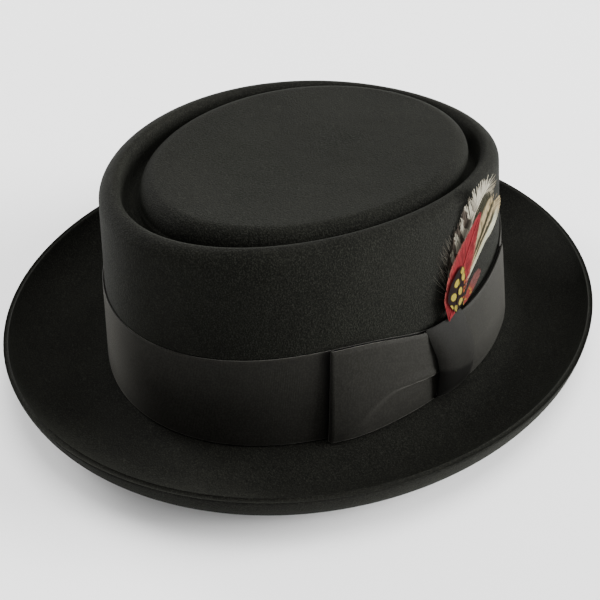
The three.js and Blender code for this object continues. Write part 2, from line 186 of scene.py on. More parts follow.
def column(rows, name, at):
    """Value of one column of a table at a place between its rows, eased through them."""
    keys = np.array(rows["reach"] if "reach" in rows else rows["up"], float)
    data = np.array(rows[name], float)
    slopes = np.gradient(data, keys)
    at = np.clip(at, keys[0], keys[-1])
    k = np.clip(np.searchsorted(keys, at) - 1, 0, len(keys) - 2)
    gap = keys[k + 1] - keys[k]
    s = (at - keys[k]) / gap
    start = data[k] * (1 + 2 * s) * (1 - s) ** 2 + slopes[k] * gap * s * (1 - s) ** 2
    return start + data[k + 1] * s * s * (3 - 2 * s) - slopes[k + 1] * gap * s * s * (1 - s)


class HatForm:
    """Works out places on the hat. Angles run round the head from the wearer's left to the back."""

    def __init__(self, felt, trim, tuft):
        self.felt, self.trim, self.tuft = felt, trim, tuft
        self.centre = 0.0
        t = np.radians([-90.0, 90.0])
        brim = self.brim(t)
        out = brim["flat"] * np.cos(brim["slope"])
        out = out + brim["radius"] * (np.sin(brim["edge"]) + np.sin(brim["slope"]))
        self.centre = -float(np.mean(self.foot(t, out, 0 * t)[:, 1]))

    def around(self, name, t):
        front, side, back = AROUND[name]
        middle = (front + back) / 2 + (side - (front + back) / 2) * np.cos(t) ** 2
        return middle + (back - front) / 2 * np.sin(t)

    def oval(self, half_length, half_width, t, out, up):
        egg = self.felt.head_egg
        x = half_width * np.cos(t) * (1 + egg * np.sin(t))
        y = half_length * np.sin(t)
        run_x = half_width * (egg * np.cos(2 * t) - np.sin(t))
        run_y = half_length * np.cos(t)
        size = np.hypot(run_x, run_y)
        return np.stack([x + out * run_y / size, y - out * run_x / size + self.centre, up + 0 * t], -1)

    def foot(self, t, out, up):
        return self.oval(self.felt.head_length / 2, self.felt.head_width / 2, t, out, up)

    def rim(self, t, out, up):
        length = self.felt.head_length / 2 - self.felt.end_taper
        width = self.felt.head_width / 2 - self.felt.side_taper
        return self.oval(length, width, t, out, up)

    def brim(self, t):
        felt = self.felt
        width = felt.brim_width * self.around("brim", t)
        flat = width * self.around("flat", t)
        slope = np.radians(self.around("slope", t))
        edge = np.radians(self.around("edge", t))
        radius = (width - flat) / (edge + slope)
        pressed = (radius + felt.thickness) * (1 - math.cos(REST_ANGLE))
        curl_foot = felt.thickness - pressed
        height = curl_foot + radius * (1 - np.cos(slope)) + flat * np.sin(slope)
        return dict(flat=flat, slope=slope, edge=edge, radius=radius, curl_foot=curl_foot, height=height)

    def rim_height(self, t):
        return self.felt.crown_height * self.around("crown", t)

    def wall_top(self, t):
        return self.rim_height(t) - self.felt.rim_radius

    def wall_point(self, along, up, proud):
        """Point on the crown's wall, proud of it, at a height."""
        t = along / (self.felt.head_length / 2)
        low = self.brim(t)["height"]
        share = ((up - low) / (self.wall_top(t) - low))[..., None]
        return self.foot(t, proud, up) * (1 - share) + self.rim(t, proud, up) * share

    def ribbon_edges(self, along):
        trim = self.trim
        t = along / (self.felt.head_length / 2)
        nearest = np.arctan2(np.sin(t), np.cos(t)) * self.felt.head_length / 2
        spread = np.where(nearest > trim.bow_centre, trim.dip_spread_back, trim.dip_spread)
        dip = trim.ribbon_dip * np.exp(-((nearest - trim.bow_centre) / spread) ** 2)
        bottom = self.brim(t)["height"] + trim.ribbon_lift
        return bottom, bottom + trim.ribbon_width - dip

    def knot_reach(self):
        bottom, top = self.ribbon_edges(np.array([self.trim.bow_centre]))
        return float(bottom[0]) + KNOT_BOTTOM_LIFT, float(top[0]) + self.trim.knot_lift

    def knot_side(self, up, side):
        low, high = self.knot_reach()
        level = (up - low) / (high - low)
        share = column(KNOT_ROWS, "shift", level) + side * column(KNOT_ROWS, "wide", level)
        return self.trim.bow_centre + self.trim.knot_half_width * share

    def blade_length(self, feather):
        run = self.tuft.reach * (feather["tip"][0] - feather["foot"][0])
        rise = self.tuft.rise * (feather["tip"][1] - feather["foot"][1])
        return run, rise, math.hypot(run, rise)

    def blade_point(self, feather, across, at, lift):
        """Place on a feather: across and lift are lengths, at is the share of its length."""
        tuft, trim = self.tuft, self.trim
        run, rise, length = self.blade_length(feather)
        sag = feather["bend"] * length * 4 * at * (1 - at)
        aside = (across - sag) / length
        along = trim.bow_centre + tuft.reach * feather["foot"][0] + run * at + rise * aside
        up = self.knot_reach()[1] + tuft.foot_lift + tuft.rise * feather["foot"][1] + rise * at - run * aside
        radius = self.felt.head_length ** 2 / (2 * self.felt.head_width)
        stand = tuft.stiffness * (along - trim.bow_centre) ** 2 / (2 * radius)
        layer = tuft.lift + feather["layer"] * tuft.layer_gap
        return self.wall_point(along, up, layer + lift + stand)


# --- meshes


def add_mesh(name, points, faces, values=None):
    """Object of points and faces, with named values on its points."""
    mesh = bpy.data.meshes.new(name)
    mesh.from_pydata([tuple(p) for p in np.asarray(points, float)], [], [tuple(map(int, f)) for f in faces])
    for key, data in (values or {}).items():
        layer = mesh.attributes.new(key, "FLOAT", "POINT")
        layer.data.foreach_set("value", np.asarray(data, np.float32).ravel())
    mesh.validate()
    mesh.polygons.foreach_set("use_smooth", [True] * len(mesh.polygons))
    mesh.update()
    thing = bpy.data.objects.new(name, mesh)
    bpy.context.scene.collection.objects.link(thing)
    return thing


def grid_faces(rows, columns, closed=False):
    """Four-sided faces between rows of points; closed joins the last column to the first."""
    r, c = np.meshgrid(np.arange(rows - 1), np.arange(columns if closed else columns - 1), indexing="ij")
    d = (c + 1) % columns
    corners = (r * columns + c, r * columns + d, (r + 1) * columns + d, (r + 1) * columns + c)
    return np.stack(corners, -1).reshape(-1, 4)


def bake(thing):
    """Turns what an object's modifiers make into its own plain mesh."""
    graph = bpy.context.evaluated_depsgraph_get()
    graph.update()
    mesh = bpy.data.meshes.new_from_object(thing.evaluated_get(graph))
    thing.modifiers.clear()
    old = thing.data
    thing.data = mesh
    bpy.data.meshes.remove(old)
    thing.data.name = thing.name
    return thing


def finish_piece(thing, material, solid):
    """Gives a piece its material, hangs it under the root body and hides the solid that it stands for."""
    thing.data.materials.clear()
    thing.data.materials.append(material)
    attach(thing, "root")
    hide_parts(solid)
    return thing


# --- node trees


class Value:
    """Socket of a node tree that can stand in an expression; an operator adds its Math node."""

    def __init__(self, tree, socket):
        self.tree, self.socket = tree, socket

    def math(self, operation, left, right=None):
        sockets = {0: left} if right is None else {0: left, 1: right}
        return node(self.tree, "ShaderNodeMath", {"operation": operation}, sockets)

    def __add__(self, other):
        return self.math("ADD", self, other)

    def __radd__(self, other):
        return self.math("ADD", other, self)

    def __sub__(self, other):
        return self.math("SUBTRACT", self, other)

    def __rsub__(self, other):
        return self.math("SUBTRACT", other, self)

    def __mul__(self, other):
        return self.math("MULTIPLY", self, other)

    def __rmul__(self, other):
        return self.math("MULTIPLY", other, self)

    def __truediv__(self, other):
        return self.math("DIVIDE", self, other)

    def __pow__(self, other):
        return self.math("POWER", self, other)

    def sine(self):
        return self.math("SINE", self)

    def size(self):
        return self.math("ABSOLUTE", self)

    def clamped(self):
        return node(self.tree, "ShaderNodeClamp", {}, {0: self})

    def most(self, other):
        return self.math("MAXIMUM", self, other)


def node(tree, kind, settings=None, sockets=None, output=0):
    """Adds a node: its settings first, then the values or links of its sockets."""
    made = tree.nodes.new(kind)
    for name, value in (settings or {}).items():
        setattr(made, name, value)
    for key, value in (sockets or {}).items():
        if isinstance(value, Value):
            tree.links.new(value.socket, made.inputs[key])
        else:
            made.inputs[key].default_value = value
    return Value(tree, made.outputs[output])


def vector(tree, x, y, z):
    return node(tree, "ShaderNodeCombineXYZ", {}, {"X": x, "Y": y, "Z": z})


def step(value, low, high):
    """Eases from 0 at low to 1 at high."""
    return node(value.tree, "ShaderNodeMapRange", {"interpolation_type": "SMOOTHSTEP"},
                {0: value, 1: low, 2: high, 3: 0.0, 4: 1.0})


def blend(factor, first, second):
    """Mixes two colours; at least one of the three is a value of a tree."""
    tree = next(value.tree for value in (factor, first, second) if isinstance(value, Value))
    return node(tree, "ShaderNodeMix", {"data_type": "RGBA"}, {0: factor, 6: first, 7: second}, output=2)


def rgb(color, gain=1.0):
    return (*(min(c * gain, 1.0) for c in color), 1.0)


class Finish:
    """Material with one shader, whose patterns read the object's own coordinates."""

    def __init__(self, name, **fixed):
        self.material = bpy.data.materials.new(name)
        self.material.use_nodes = True
        self.tree = self.material.node_tree
        self.shader = next(n for n in self.tree.nodes if n.type == "BSDF_PRINCIPLED")
        for key, value in fixed.items():
            self.shader.inputs[key.replace("_", " ")].default_value = value
        self.place = node(self.tree, "ShaderNodeTexCoord", output=3)

    def stretched(self, scale):
        return node(self.tree, "ShaderNodeMapping", {}, {"Vector": self.place, "Scale": scale})

    def noise(self, scale, detail=2.0, place=None, rough=0.5):
        return node(self.tree, "ShaderNodeTexNoise", {},
                    {"Vector": place or self.place, "Scale": scale, "Detail": detail, "Roughness": rough})

    def attribute(self, name):
        return node(self.tree, "ShaderNodeAttribute", {"attribute_name": name}, output=2)

    def bump(self, height, strength, distance, below=None):
        sockets = {"Height": height, "Strength": strength, "Distance": distance}
        if below:
            sockets["Normal"] = below
        return node(self.tree, "ShaderNodeBump", {}, sockets)

    def feed(self, **links):
        for key, value in links.items():
            self.tree.links.new(value.socket, self.shader.inputs[key.replace("_", " ")])
        return self.material


def geometry_tree(name, inputs):
    """Empty tree of geometry nodes with named inputs; gives the tree and a value for each input."""
    tree = bpy.data.node_groups.new(name, "GeometryNodeTree")
    tree.interface.new_socket("Geometry", in_out="INPUT", socket_type="NodeSocketGeometry")
    for label, (kind, default) in inputs.items():
        made = tree.interface.new_socket(label, in_out="INPUT", socket_type=kind)
        if default is not None:
            made.default_value = default
    tree.interface.new_socket("Geometry", in_out="OUTPUT", socket_type="NodeSocketGeometry")
    source = tree.nodes.new("NodeGroupInput")
    values = {socket.name: Value(tree, socket) for socket in source.outputs if socket.name}
    return tree, values


def close_tree(tree, shape, material):
    """Ends a tree in real geometry with its material."""
    real = node(tree, "GeometryNodeRealizeInstances", {}, {0: shape})
    done = node(tree, "GeometryNodeSetMaterial", {}, {"Geometry": real, "Material": material})
    sink = tree.nodes.new("NodeGroupOutput")
    tree.links.new(done.socket, sink.inputs[0])


def use_tree(thing, tree, **values):
    """Adds a tree to an object as a modifier and sets its inputs by their identifiers."""
    modifier = thing.modifiers.new(tree.name, "NODES")
    modifier.node_group = tree
    names = {s.name: s.identifier for s in tree.interface.items_tree if s.in_out == "INPUT"}
    for key, value in values.items():
        modifier[names[key.replace("_", " ").title()]] = value
    return modifier


# --- materials


def felt_finish(colors):
    """Black felt: soft cloudy depth and a fine, even grain of pressed fibres."""
    felt = Finish("felt_cloth", Roughness=0.92, Sheen_Weight=colors.felt_sheen, Sheen_Roughness=0.5,
                  Sheen_Tint=rgb((0.96, 1.0, 0.82)), Specular_IOR_Level=0.06)
    cloud = felt.noise(24.0, 3.0)
    grain = felt.noise(1150.0, 2.0, rough=0.65)
    speck = felt.noise(1850.0, 1.0)
    tone = blend(step(cloud, 0.3, 0.7), rgb(colors.felt, 0.8), rgb(colors.felt, 1.24))
    tone = blend(step(grain, 0.36, 0.62), blend(0.5, tone, BLACK), tone)
    tone = blend(step(speck, 0.48, 0.7) * 0.6, tone, rgb(colors.felt_fibre))
    soft = felt.bump(felt.noise(34.0, 2.0), 0.5, 1.5 * MM)
    return felt.feed(Base_Color=tone, Roughness=0.88 + grain * 0.1,
                     Normal=felt.bump(grain * 0.7 + speck * 0.5, 0.9, 0.4 * MM, soft))


def ribbon_finish(colors, name="ribbon_cloth", gain=1.0):
    """Grosgrain: fine weft cords, a slightly paler selvedge, a faint silky gloss, and painted shade where the
    cloth is marked as shaded; a gain below 1 makes a darker copy.
    """
    ribbon = Finish(name, Sheen_Weight=0.085 * gain ** 2, Sheen_Roughness=0.36,
                    Sheen_Tint=rgb((1.0, 0.97, 0.88)), Specular_IOR_Level=0.03)
    along = ribbon.attribute("along")
    edge = ribbon.attribute("edge")
    thread = (along * (2 * math.pi / (0.7 * MM))).sine()
    worn = ribbon.noise(160.0, 3.0)
    fine = ribbon.noise(2400.0, 2.0)
    grain = ribbon.noise(1300.0, 1.0)
    tone = blend(step(worn, 0.3, 0.7), rgb(colors.ribbon, 0.93 * gain), rgb(colors.ribbon, 1.08 * gain))
    tone = blend(step(thread, -0.9, 0.2), rgb(colors.ribbon, 0.62 * gain), tone)
    tone = blend(step(grain, 0.4, 0.65) * 0.4, tone, rgb(colors.ribbon, 1.7 * gain))
    tone = blend(step(edge, 0.955, 0.985) * 0.4, tone, rgb(colors.ribbon, 1.5 * gain))
    # Painted shade: darkened by the value stored on the cloth for its tucked and shaded parts
    tone = blend(ribbon.attribute("painted_shade") * 0.85, tone, rgb(colors.ribbon, 0.1))
    height = fine * 0.6 + worn * 0.4
    return ribbon.feed(Base_Color=tone, Roughness=0.55 + fine * 0.12,
                       Normal=ribbon.bump(height, 0.35, 0.12 * MM))


def feather_finish(name, pattern):
    """Barbs: the pattern's colour, streaked from barb to barb."""
    feather = Finish(name, Roughness=0.7, Sheen_Weight=0.008, Sheen_Roughness=0.4, Specular_IOR_Level=0.03)
    across, at, tone = (feather.attribute(key) for key in ("across", "at", "tone"))
    color = pattern(feather, across, at, tone)
    return feather.feed(Base_Color=blend(tone * 0.4, color, BLACK))


def hackle_pattern(feather, across, at, tone):
    dark, white, red = rgb((0.04, 0.033, 0.026)), rgb((0.2, 0.185, 0.15)), rgb((0.13, 0.028, 0.022))
    color = blend(step(tone, 0.4, 0.55) * step(across.size(), 0.15, 0.4), dark, white)
    return blend(step(at, 0.2, 0.12), color, red)


def barred_pattern(feather, across, at, tone):
    white, tan, bar = rgb((0.3, 0.28, 0.22)), rgb((0.17, 0.145, 0.1)), rgb((0.035, 0.026, 0.02))
    wave = feather.noise(260.0, 2.0)
    bars = ((at * 8.0 - across.size() * 0.8 + wave * 0.9) * (2 * math.pi)).sine()
    left = step(across, 0.3, -0.3)
    fringe = step(across, -0.6, -0.95) * step(tone, 0.35, 0.6)
    color = blend(step(across, 0.1, 0.6) * 0.8, white, tan)
    color = blend(step(bars, -0.1, 0.4) * (0.1 + left * 0.85) * step(at, 0.86, 0.66), color, bar)
    return blend((fringe * 0.7).most(step(at, 0.34, 0.2) * 0.6), color, bar)


def striped_pattern(feather, across, at, tone):
    cream, olive = rgb((0.22, 0.175, 0.1)), rgb((0.02, 0.019, 0.011))
    white, brown = rgb((0.3, 0.3, 0.22)), rgb((0.07, 0.05, 0.022))
    streak = feather.noise(1.0, 3.0, feather.stretched((900.0, 900.0, 160.0)))
    lane = across + (1.0 - at) * 0.6 + (streak - 0.5) * 0.22
    color = blend(step(streak, 0.52, 0.68) * 0.7, cream, brown)
    color = blend(step(lane, -0.3, -0.46), color, olive)
    color = blend(step((lane - 0.12).size(), 0.16, 0.07) * 0.9, color, olive)
    color = blend(step((lane - 0.55).size(), 0.18, 0.09) * step(at, 0.95, 0.8), color, olive)
    return blend(step(across, 0.5, 0.66) * step(at, 0.92, 0.8), color, white)


def red_pattern(feather, across, at, tone):
    red, dark, pale = rgb((0.14, 0.013, 0.016)), rgb((0.085, 0.008, 0.009)), rgb((0.19, 0.055, 0.045))
    streak = feather.noise(1.0, 2.0, feather.stretched((900.0, 900.0, 160.0)))
    color = blend(step(streak, 0.35, 0.62), dark, red)
    return blend(step(across.size() + streak * 0.5, 1.0, 1.35) * 0.8, color, pale)


def small_red_pattern(feather, across, at, tone):
    pink, red, gold = rgb((0.075, 0.03, 0.027)), rgb((0.12, 0.022, 0.018)), rgb((0.18, 0.1, 0.02))
    spot = feather.noise(420.0, 1.0)
    color = blend(step(at, 0.65, 0.35), pink, red)
    return blend(step(spot, 0.55, 0.62) * step(at, 0.5, 0.4), color, gold)


def spotted_pattern(feather, across, at, tone):
    brown, olive, yellow = rgb((0.009, 0.005, 0.005)), rgb((0.05, 0.038, 0.006)), rgb((0.22, 0.175, 0.03))
    orange, fleck = rgb((0.17, 0.045, 0.012)), feather.noise(520.0, 1.0)
    nearest = None
    for x, y, wide, tall in SPOTS:
        inside = 1.0 - (((across - x) / wide) ** 2.0 + ((at - y) / tall) ** 2.0)
        nearest = inside if nearest is None else nearest.most(inside)
    color = blend(step(across, 0.62, 0.84) * step(fleck, 0.44, 0.56), brown, orange)
    color = blend(step(nearest, -0.4, 0.0), color, olive)
    return blend(step(nearest, -0.05, 0.25), color, yellow)


# --- settings


def length(name, description, default, least=0.0):
    return FloatProperty(name=name, description=description, default=default * MM, min=least * MM,
                         precision=5, subtype="DISTANCE", unit="LENGTH")


def angle(name, description, default):
    return FloatProperty(name=name, description=description, default=math.radians(default),
                         subtype="ANGLE", unit="ROTATION")


def number(name, description, default):
    return FloatProperty(name=name, description=description, default=default, min=0.0)


def share(name, description, default):
    return FloatProperty(name=name, description=description, default=default, min=0.0, max=4.0)


def color(name, description, default):
    return FloatVectorProperty(name=name, description=description, default=default, size=3, min=0.0,
                               max=1.0, subtype="COLOR")


class HatFeltSettings(bpy.types.PropertyGroup):
    """Sizes of the felt body."""

    head_length: length("Head length", "Outside of the felt from front to back at the crown's foot", 208)
    head_width: length("Head width", "Outside of the felt from side to side at the crown's foot", 175.4)
    head_egg: share("Egg", "How much wider the oval is behind its middle", 0.02)
    thickness: length("Thickness", "Thickness of the felt", 2.2)
    break_radius: length("Break radius", "Hollow corner between the crown and the brim", 1.2)
    brim_width: length("Brim width", "Width of the brim along the felt at the front", 54)
    crown_height: length("Crown height", "Height of the crown's rim over the ground", 92.3)
    end_taper: length("End taper", "How far the wall leans in at the front and back", 4.5)
    side_taper: length("Side taper", "How far the wall leans in at the sides", 12)
    rim_radius: length("Rim radius", "Outer rounding of the crown's rim", 6)
    rim_inner_radius: length("Inner rim radius", "Inner rounding of the crown's rim", 2.9)
    groove_depth: length("Groove depth", "Depth of the groove below the rim", 13)
    tip_inset: length("Tip inset", "From the outside of the rim to the raised tip", 14)
    tip_radius: length("Tip radius", "Rounding of the tip's edge", 5.5)
    tip_dish: length("Tip dish", "Depth of the dish in the tip", 2.2)
    edge_radius: length("Edge rounding", "Rounding of the brim's raw edge", 0.5)
    stations: IntProperty(name="Stations", description="Sections round the hat", default=300, min=60, max=600)


class HatTrimSettings(bpy.types.PropertyGroup):
    """Sizes of the ribbon and the bow."""

    ribbon_width: length("Ribbon width", "Width of the ribbon", 43.4)
    ribbon_lift: length("Ribbon lift", "Height of its lower edge over the break line", 1.0)
    ribbon_dip: length("Ribbon dip", "How far the knot draws the upper edge down", 10)
    dip_spread: length("Dip spread", "Reach of the dip in front of the knot", 32)
    dip_spread_back: length("Dip spread behind", "Reach of the dip behind the knot", 68)
    cloth: length("Cloth", "Thickness of the ribbon's cloth", 0.55)
    band_wall: length("Band wall", "Room that the band takes under the bow", 0.8)
    gap: length("Gap", "Clearance between the band and the felt", 0.3)
    rib_pitch: length("Rib pitch", "Distance between the ribbon's cords", 0.7)
    rib_depth: length("Rib depth", "Height of the ribbon's cords", 0.05)
    bow_centre: length("Bow centre", "Place of the knot from the middle of the side", -2.5, -100)
    loop_reach: length("Loop reach", "From the bow's middle to a loop's fold", 61.5)
    loop_slant: length("Loop slant", "How much farther a fold reaches at the bottom", 3.5)
    loop_proud: length("Loop stand-off", "How far a loop stands off the band", 3.8)
    back_flatness: share("Back flatness", "How much flatter the back loop's fold lies", 0.55)
    pleat_step: length("Pleat step", "Height of the pleat's step", 1.5)
    knot_half_width: length("Knot half width", "Half of the knot's width", 12)
    knot_proud: length("Knot stand-off", "How far the knot stands off the band", 6.6)
    knot_lift: length("Knot lift", "How far the knot rises over the ribbon's edge", 2.8)


class HatTuftSettings(bpy.types.PropertyGroup):
    """Sizes of the feather tuft."""

    reach: length("Reach", "Reach of the tips along the band", 35)
    rise: length("Rise", "Rise of the tips over the knot", 50)
    width: length("Feather width", "Width of the widest feather", 16)
    foot_lift: length("Foot lift", "From the knot's top to the lowest foot", 1.2)
    lift: length("Lift", "Distance of the lowest feather from the felt", 0.65)
    layer_gap: length("Layer gap", "Distance from one feather to the next", 0.85)
    stiffness: share("Stiffness", "0 follows the crown, 1 stands straight off it", 0.9)
    quill: length("Quill", "Thickness of a quill at its foot", 0.9)
    seed: IntProperty(name="Seed", description="Seed of the barbs' ruffling", default=7)


class HatColorSettings(bpy.types.PropertyGroup):
    """Colours of the hat."""

    felt: color("Felt", "Felt", (0.0045, 0.0046, 0.0036))
    felt_fibre: color("Felt fibre", "Palest fibres of the felt", (0.0175, 0.018, 0.0143))
    felt_sheen: share("Felt sheen", "Soft light on the felt's nap", 0.012)
    ribbon: color("Ribbon", "Ribbon", (0.0135, 0.0132, 0.0114))


class HatStudioSettings(bpy.types.PropertyGroup):
    """Camera, lights and floor."""

    azimuth: angle("Azimuth", "Camera's turn from the front to the wearer's left", 44.38)
    elevation: angle("Elevation", "Camera's height as an angle", 37.91)
    roll: angle("Roll", "Camera's roll", -0.6)
    distance: length("Distance", "From the aimed point to the camera", 430)
    aim_height: length("Aim height", "Height of the aimed point", 48.6)
    focal: number("Focal length", "In pixels of a picture 600 wide", 914.2)
    aim_x: number("Aim across", "Aimed point in the picture", 308.08)
    aim_y: number("Aim down", "Aimed point in the picture", 229.24)
    sky: number("Sky", "Strength of the even light", 0.9)
    floor: color("Floor", "Floor", (0.9, 0.9, 0.9))


def form_of(context):
    scene = context.scene
    return HatForm(scene.hat_felt, scene.hat_trim, scene.hat_tuft)


# --- pieces


class HAT_OT_felt_body(bpy.types.Operator):
    """Felt body: brim, crown, groove and raised tip as one sheet of felt."""

    bl_idname = "hat.felt_body"
    bl_label = "Felt Body"

    def execute(self, context):
        form = form_of(context)
        felt = context.scene.hat_felt
        t = np.linspace(0, 2 * math.pi, felt.stations, endpoint=False)
        upper, under, tip_floor = self.rings(form, felt, t)
        rings = under[::-1] + upper
        count = len(t)
        points = np.concatenate(rings)
        faces = list(grid_faces(len(rings), count, closed=True))
        centre = upper[-1].mean(0)
        centre[2] = tip_floor
        below = centre - (0, 0, felt.thickness)
        first, last = len(points), len(points) + 1
        points = np.vstack([points, below, centre])
        top = (len(rings) - 1) * count
        for i in range(count):
            j = (i + 1) % count
            faces.append((first, j, i))
            faces.append((last, top + i, top + j))
        body = add_mesh("felt", points, faces)
        finish_piece(body, felt_finish(context.scene.hat_colors), "felt_body")
        return {"FINISHED"}

    def rings(self, form, felt, t):
        """Rings of points on both sides, from the raw edge to the tip's middle, and the height there."""
        upper, under = [], []
        thick = felt.thickness

        def add(base, out, up, faces, trim=0.0):
            high = base(t, out - trim * np.sin(faces), up - trim * np.cos(faces))
            low_up = np.maximum(up - (thick - trim) * np.cos(faces), 0.0)
            low = base(t, out - (thick - trim) * np.sin(faces), low_up)
            upper.append(high)
            under.append(low)

        def between(first, rows):
            """Straight rows between the last ring and the next."""
            high, low = upper.pop(), under.pop()
            for k in range(1, rows + 1):
                s = k / (rows + 1)
                upper.append(upper[first] * (1 - s) + high * s)
                under.append(under[first] * (1 - s) + low * s)
            upper.append(high)
            under.append(low)

        brim = form.brim(t)
        flat, slope, radius = brim["flat"], brim["slope"], brim["radius"]

        def curl(angle, trim=0.0):
            out = flat * np.cos(slope) + radius * (np.sin(angle) + np.sin(slope))
            add(form.foot, out, brim["curl_foot"] + radius * (1 - np.cos(angle)), -angle, trim)

        edge = felt.edge_radius
        for turn in (0, 20, 42, 66, 90):
            back = edge * (1 - math.sin(math.radians(turn)))
            curl(brim["edge"] - back / radius, edge * (1 - math.cos(math.radians(90 - turn))))
        for s in np.linspace(0, 1, 34)[1:]:
            curl((brim["edge"] - edge / radius) * (1 - s) - slope * s)

        lean = np.arctan2(felt.end_taper + (felt.side_taper - felt.end_taper) * np.cos(t) ** 2,
                          form.wall_top(t) - brim["height"])
        corner = felt.break_radius
        corner_up = brim["height"] + corner / np.cos(slope) - corner * np.tan(slope)
        for s in np.linspace(0, 1, 5):
            faces = slope * (1 - s) + (math.pi / 2 - lean) * s
            add(form.foot, corner * (1 - np.sin(faces)), corner_up - corner * np.cos(faces), faces)
            if s == 0:
                between(len(upper) - 2, 5)

        rim_up = form.rim_height(t)
        for s in np.linspace(0, 1, 11):
            faces = (math.pi / 2 - lean) * (1 - s)
            add(form.rim, -felt.rim_radius * (1 - np.sin(faces)),
                rim_up - felt.rim_radius * (1 - np.cos(faces)), faces)
            if s == 0:
                between(len(upper) - 2, 10)
        for s in np.linspace(0, 1, 10)[1:]:
            faces = -GROOVE_STEEP * s + 0 * t
            add(form.rim, -felt.rim_radius + felt.rim_inner_radius * np.sin(faces),
                rim_up - felt.rim_inner_radius * (1 - np.cos(faces)), faces)

        rim_width = felt.rim_radius + felt.rim_inner_radius
        inset = felt.tip_inset * form.around("tip_inset", t)
        bend = GROOVE_ROUNDING * (inset - rim_width) / 2
        for s in np.linspace(-1, 1, 13):
            faces = GROOVE_STEEP * s + 0 * t
            add(form.rim, -(rim_width + inset) / 2 - bend * np.sin(faces),
                rim_up - felt.groove_depth + bend * (1 - np.cos(faces)), faces)
            if s == -1:
                between(len(upper) - 2, 3)

        tip_up = felt.crown_height * form.around("tip", t)
        soft = form.around("tip_soft", t)
        round_up = felt.tip_radius * form.around("tip_round", t)
        for s in np.linspace(1, -0.04, 20):
            turn = GROOVE_STEEP * s + 0 * t
            faces = np.arctan2(round_up * np.sin(turn), soft * felt.tip_radius * np.cos(turn))
            add(form.rim, -inset - soft * felt.tip_radius * (1 - np.sin(turn)),
                tip_up - round_up * (1 - np.cos(turn)), faces)
            if s == 1:
                between(len(upper) - 2, 4)

        rim = upper[-1].copy()
        middle = rim.mean(0)
        middle[2] -= felt.tip_dish
        for s in np.linspace(0, 1, 20)[1:-1]:
            ring = rim * (1 - s) + middle * s
            ring[:, 2] = middle[2] + (rim[:, 2] - middle[2]) * (1 - s) ** 2
            upper.append(ring)
            under.append(ring - (0, 0, thick))
        return upper, under, middle[2]


def rib_tree(material):
    """Raises the cords of a grosgrain ribbon across a sheet, from the length stored along it."""
    tree, given = geometry_tree("grosgrain_ribs", {
        "Rib Pitch": ("NodeSocketFloat", 0.0009),
        "Rib Depth": ("NodeSocketFloat", 0.0001),
    })
    along = node(tree, "GeometryNodeInputNamedAttribute", {"data_type": "FLOAT"}, {"Name": "along"})
    edge = node(tree, "GeometryNodeInputNamedAttribute", {"data_type": "FLOAT"}, {"Name": "edge"})
    wave = (along * math.pi / given["Rib Pitch"]).sine().size()
    fade = step(edge, 0.99, 0.965)
    normal = node(tree, "GeometryNodeInputNormal")
    lift = wave * given["Rib Depth"] * fade
    offset = node(tree, "ShaderNodeVectorMath", {"operation": "SCALE"}, {0: normal, "Scale": lift})
    moved = node(tree, "GeometryNodeSetPosition", {}, {"Geometry": given["Geometry"], "Offset": offset})
    close_tree(tree, moved, material)
    return tree


def ribbed(name, points, along, edge, painted_shade, faces, trim, tree):
    """The ribbon's cloth: a sheet with cords raised on it, given its thickness. Tucked parts and the band
    beside the bow carry painted shade.
    """
    thing = add_mesh(name, points, faces, {"along": along, "edge": edge, "painted_shade": painted_shade})
    use_tree(thing, tree, rib_pitch=trim.rib_pitch, rib_depth=trim.rib_depth)
    wall = thing.modifiers.new("wall", "SOLIDIFY")
    wall.thickness, wall.offset = trim.cloth, -1.0
    wall.use_even_offset = False
    bake(thing)
    return thing


def way_along(line):
    """How far each point of a line is from its start."""
    return np.concatenate([[0], np.cumsum(np.linalg.norm(np.diff(line, axis=0), axis=1))])


class HAT_OT_ribbon_band(bpy.types.Operator):
    """Ribbon round the foot of the crown."""

    bl_idname = "hat.ribbon_band"
    bl_label = "Ribbon Band"

    def execute(self, context):
        form = form_of(context)
        trim = context.scene.hat_trim
        half = context.scene.hat_felt.head_length / 2
        turn = np.linspace(0, 2 * math.pi, 20000, endpoint=False)
        line = form.wall_point(turn * half, form.brim(turn)["height"] + trim.ribbon_width / 2, 0 * turn)
        strides = np.linalg.norm(np.roll(line, -1, 0) - line, axis=1)
        whole = strides.sum()
        ribs = round(whole / trim.rib_pitch)
        walked = np.concatenate([[0], np.cumsum(strides)])
        wanted = np.arange(ribs * 4) / (ribs * 4) * whole
        t = np.interp(wanted, walked, np.append(turn, 2 * math.pi))
        along = t * half
        bottom, top = form.ribbon_edges(along)
        shares = np.array([0, 0.008, 0.02, 0.05, 0.2, 0.4, 0.6, 0.8, 0.95, 0.98, 0.992, 1])
        proud = trim.gap + trim.cloth + trim.rib_depth
        rows = [form.wall_point(along, bottom * (1 - s) + top * s, 0 * t + proud) for s in shares]
        points = np.concatenate(rows)
        marks = np.tile(wanted * (ribs * trim.rib_pitch / whole), len(rows))
        edge = np.repeat(np.abs(2 * shares - 1), len(t))
        # Painted shade: the band darkens beside the loops' folds, where their shadow falls
        beside = np.mod(along + math.pi * half, 2 * math.pi * half) - math.pi * half - trim.bow_centre
        outside = np.maximum(np.abs(beside) - trim.loop_reach, 0)
        painted_shade = np.concatenate([np.exp(-(outside / (SHADE_REACH - SHADE_LESS * s)) ** 2) for s in shares])
        tree = rib_tree(self.finish(context))
        faces = grid_faces(len(rows), len(t), closed=True)
        band = ribbed("ribbon_cloth", points, marks, edge, painted_shade, faces, trim, tree)
        finish_piece(band, self.finish(context), "ribbon_band")
        return {"FINISHED"}

    @staticmethod
    def finish(context):
        return bpy.data.materials.get("ribbon_cloth") or ribbon_finish(context.scene.hat_colors)


